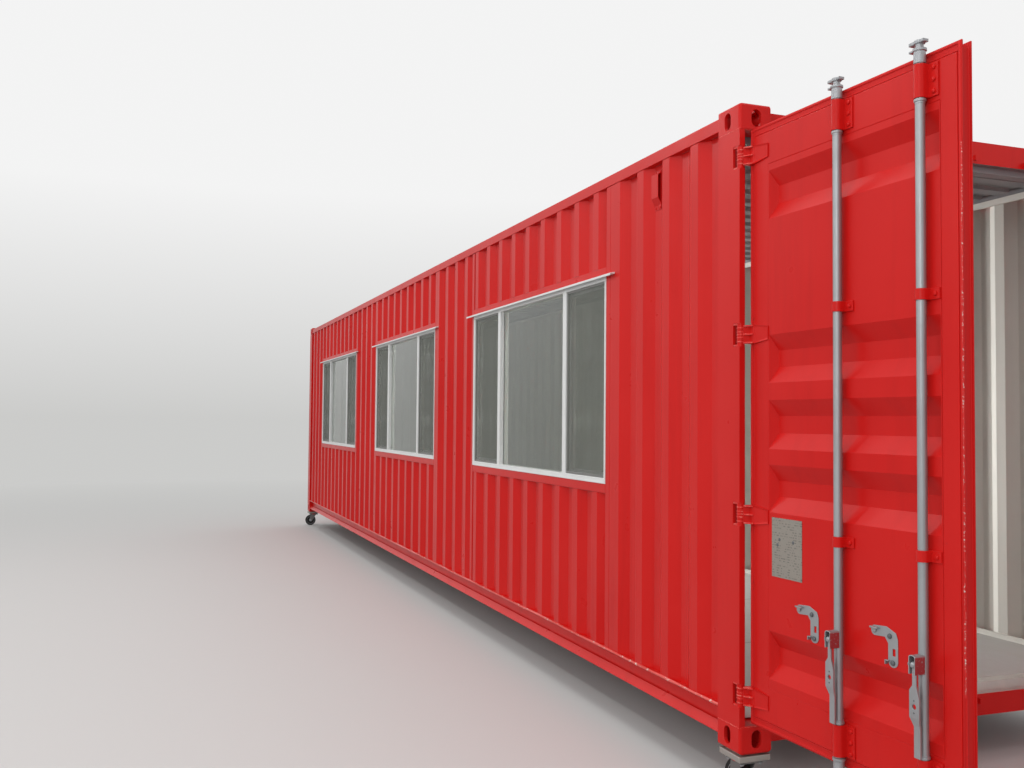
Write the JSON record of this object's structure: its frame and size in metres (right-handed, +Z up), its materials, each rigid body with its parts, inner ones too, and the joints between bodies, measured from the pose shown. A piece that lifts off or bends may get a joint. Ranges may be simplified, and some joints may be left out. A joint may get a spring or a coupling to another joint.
{
  "type": "container cabin",
  "caption": "Red corrugated steel shipping container fitted out as a cabin, with wide windows in one long wall, open cargo doors at one end and castors under its corners",
  "frame": {"origin": "Centre of the bounding box on the ground under the wheels, with both doors open as drawn", "axes": "+X towards the cargo door end, +Z up, -Y the wall with the windows"},
  "size_m": [13.3673, 2.5298, 3.1158],
  "materials": {
    "container_red": "bright red marine paint, slightly chalked and scuffed",
    "galvanised": "dull hot dip zinc with light scratches",
    "plate_aluminium": "bare dull plate",
    "white_vinyl": "smooth white extrusion",
    "window_glazing": "clear with a faint green edge",
    "insect_mesh": "fine dark grey mesh",
    "door_rubber": "black rubber with red overspray",
    "wheel_tread": "solid black rubber",
    "plywood": "grey coated plywood boards, worn along the joints"
  },
  "bodies": {
    "container": {"corner_castings": "container_red", "door_post_left": "container_red", "door_post_right": "container_red", "front_posts": "container_red", "top_rails": "container_red", "bottom_rails": "container_red", "door_header": "container_red", "door_sill": "container_red", "front_beams": "container_red", "cross_members": "container_red", "floor_boards": "plywood", "roof": "container_red", "front_wall": "container_red", "side_wall_right": "container_red", "side_wall_left_piers": "container_red", "side_wall_left_heads": "container_red", "side_wall_left_sills": "container_red", "window_posts": "container_red", "window_rails": "container_red", "window_frames": "white_vinyl", "window_sashes": "white_vinyl", "window_glass": "window_glazing", "window_screens": "insect_mesh", "drip_caps": "white_vinyl", "ventilators": "container_red", "caster_brackets": "galvanised", "caster_forks": "galvanised", "caster_wheels": "wheel_tread", "door_right_frame": "container_red", "door_right_panel": "container_red", "door_right_gasket": "door_rubber", "door_right_hinges": "container_red", "door_right_brackets": "container_red", "door_right_lock_gear": "galvanised"},
    "door_left": {"door_left_frame": "container_red", "door_left_panel": "container_red", "door_left_gasket": "door_rubber", "door_left_hinges": "container_red", "door_left_brackets": "container_red", "door_left_retainers": "galvanised", "data_plate": "plate_aluminium"},
    "rod_inner": {"lock_rod_inner": "galvanised"},
    "rod_outer": {"lock_rod_outer": "galvanised"},
    "handle_inner": {"handle_inner": "galvanised"},
    "handle_outer": {"handle_outer": "galvanised"}
  },
  "joints": [
    {"name": "door_left_hinge", "type": "hinge", "parent": "container", "child": "door_left", "pos_m": [5.48757, -1.201, 1.675], "axis": [0, 0, -1], "range_deg": [-87.5, 172.5]},
    {"name": "rod_inner_turn", "type": "hinge", "parent": "door_left", "child": "rod_inner", "pos_m": [6.10581, -1.17, 1.673], "axis": [0, 0, -1], "range_deg": [0, 90]},
    {"name": "rod_outer_turn", "type": "hinge", "parent": "door_left", "child": "rod_outer", "pos_m": [6.5294, -1.15151, 1.673], "axis": [0, 0, -1], "range_deg": [0, 90]},
    {"name": "handle_inner_lift", "type": "hinge", "parent": "rod_inner", "child": "handle_inner", "pos_m": [6.11177, -1.21479, 0.852], "axis": [-0.999, -0.0436, 0], "range_deg": [0, 90]},
    {"name": "handle_outer_lift", "type": "hinge", "parent": "rod_outer", "child": "handle_outer", "pos_m": [6.53536, -1.19629, 0.852], "axis": [-0.999, -0.0436, 0], "range_deg": [0, 90]}
  ]
}
